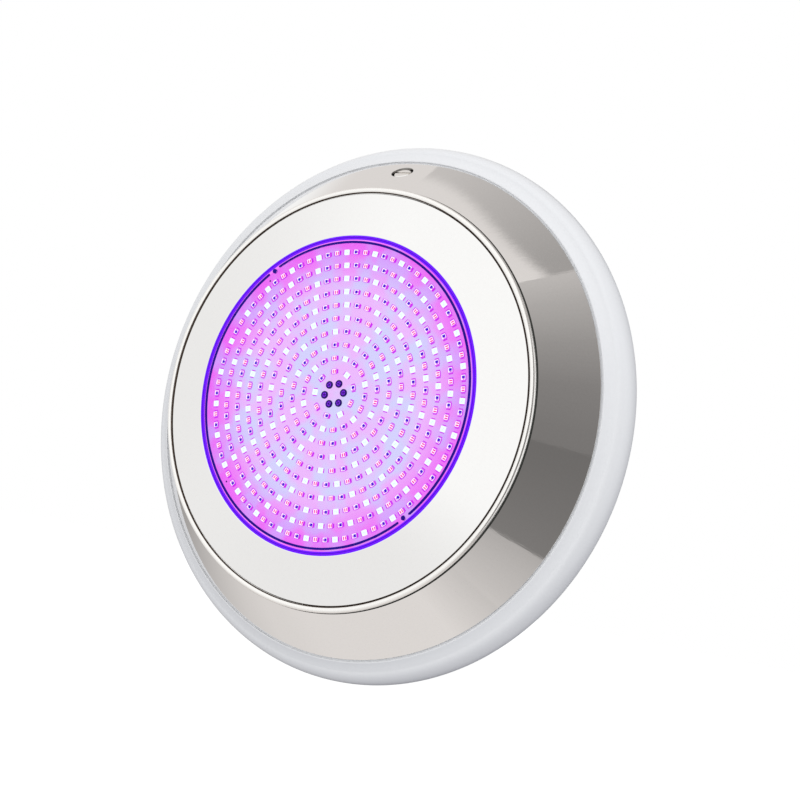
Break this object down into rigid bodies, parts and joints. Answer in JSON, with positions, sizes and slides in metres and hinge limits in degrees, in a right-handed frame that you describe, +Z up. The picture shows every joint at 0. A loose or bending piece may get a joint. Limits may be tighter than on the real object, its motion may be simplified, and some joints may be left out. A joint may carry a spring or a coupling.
{
  "type": "underwater pool light",
  "caption": "Round surface-mounted underwater pool light with a polished steel skirt, an LED window, a locking screw and a bayonet wall bracket.",
  "frame": {"origin": "centre of the wall bracket's back face, on the light's axis, where it meets the pool wall", "axes": "-Y out of the wall along the light's axis, +Z up through the lock screw, +X to the right seen from the front"},
  "size_m": [0.295, 0.054, 0.295],
  "materials": {
    "bracket_plastic": "fine moulded texture",
    "white_abs": "semi-gloss white moulding",
    "polished_steel": "mirror polished stainless steel",
    "plain_steel": "plain stainless steel",
    "brass": "turned brass",
    "gland_brass": "nickel-plated brass",
    "cup_plastic": "moulded polycarbonate",
    "black_rubber": "moulded silicone rubber",
    "potting_resin": "cast epoxy",
    "clear_lens": "clear moulded polycarbonate",
    "lens_rim": "edge of the light guide, lit violet-blue",
    "lens_seal": "dark sealant in the lens, lit navy",
    "led_board": "white solder mask in the LEDs' light",
    "led_lit_pink": "moulded LED package, lit",
    "led_lit_white": "moulded LED package, lit",
    "led_lit_violet": "moulded LED package, lit",
    "dark_terminal": "blackened steel",
    "tinned_copper": "tinned copper",
    "aluminium": "stamped sheet",
    "green_laminate": "solder mask on glass laminate",
    "capacitor_sleeve": "shrink sleeve",
    "black_epoxy": "transfer-moulded epoxy",
    "copper_winding": "enamelled copper winding",
    "green_plastic": "moulded nylon",
    "fuse_ceramic": "glazed ceramic",
    "bright_screw": "bright stainless steel",
    "nylon": "turned nylon"
  },
  "bodies": {
    "bracket": {"wall_bracket": "bracket_plastic", "bayonet_ring": "bracket_plastic"},
    "light": {"rear_shell": "white_abs", "shell_insert": "brass", "trim_skirt": "polished_steel", "skirt_hooks": "polished_steel", "face_plate": "polished_steel", "stud_washers": "plain_steel", "stud_nuts": "plain_steel", "lamp_cup": "cup_plastic", "face_seal": "black_rubber", "resin_fill": "potting_resin", "lens": "clear_lens", "lens_sealant": "lens_seal", "lens_gasket": "lens_rim", "led_board": "led_board", "leds_red": "led_lit_pink", "leds_green": "led_lit_white", "leds_blue": "led_lit_violet", "board_terminals": "dark_terminal", "feed_pins": "tinned_copper", "heat_spreader": "aluminium", "driver_board": "green_laminate", "driver_screws": "plain_steel", "filter_capacitors": "capacitor_sleeve", "bridge_rectifier": "black_epoxy", "choke_coil": "copper_winding", "switching_transistors": "black_epoxy", "controller_chip": "black_epoxy", "terminal_block": "green_plastic", "supply_fuse": "fuse_ceramic", "gland_body": "gland_brass", "gland_seal": "black_rubber", "gland_locknut": "gland_brass", "gland_grommet": "black_rubber", "gland_nut": "gland_brass"},
    "washer": {"lock_washer": "nylon"},
    "screw": {"lock_screw": "bright_screw"}
  },
  "joints": [
    {"name": "bayonet_twist", "type": "hinge", "parent": "bracket", "child": "light", "pos_m": [0, 0, 0], "axis": [0, -1, 0], "range_deg": [0, 45]},
    {"name": "screw_travel", "type": "slide", "parent": "light", "child": "washer", "axis": [0, -0.6503, 0.7597], "range_m": [0, 0.008]},
    {"name": "screw_turn", "type": "hinge", "parent": "washer", "child": "screw", "pos_m": [0, -0.02756, 0.127], "axis": [0, -0.6503, 0.7597], "range_deg": [0, 3600]}
  ],
  "couplings": [
    {"joint": "screw_turn", "follows": "screw_travel", "rad_per_m": 7854}
  ]
}
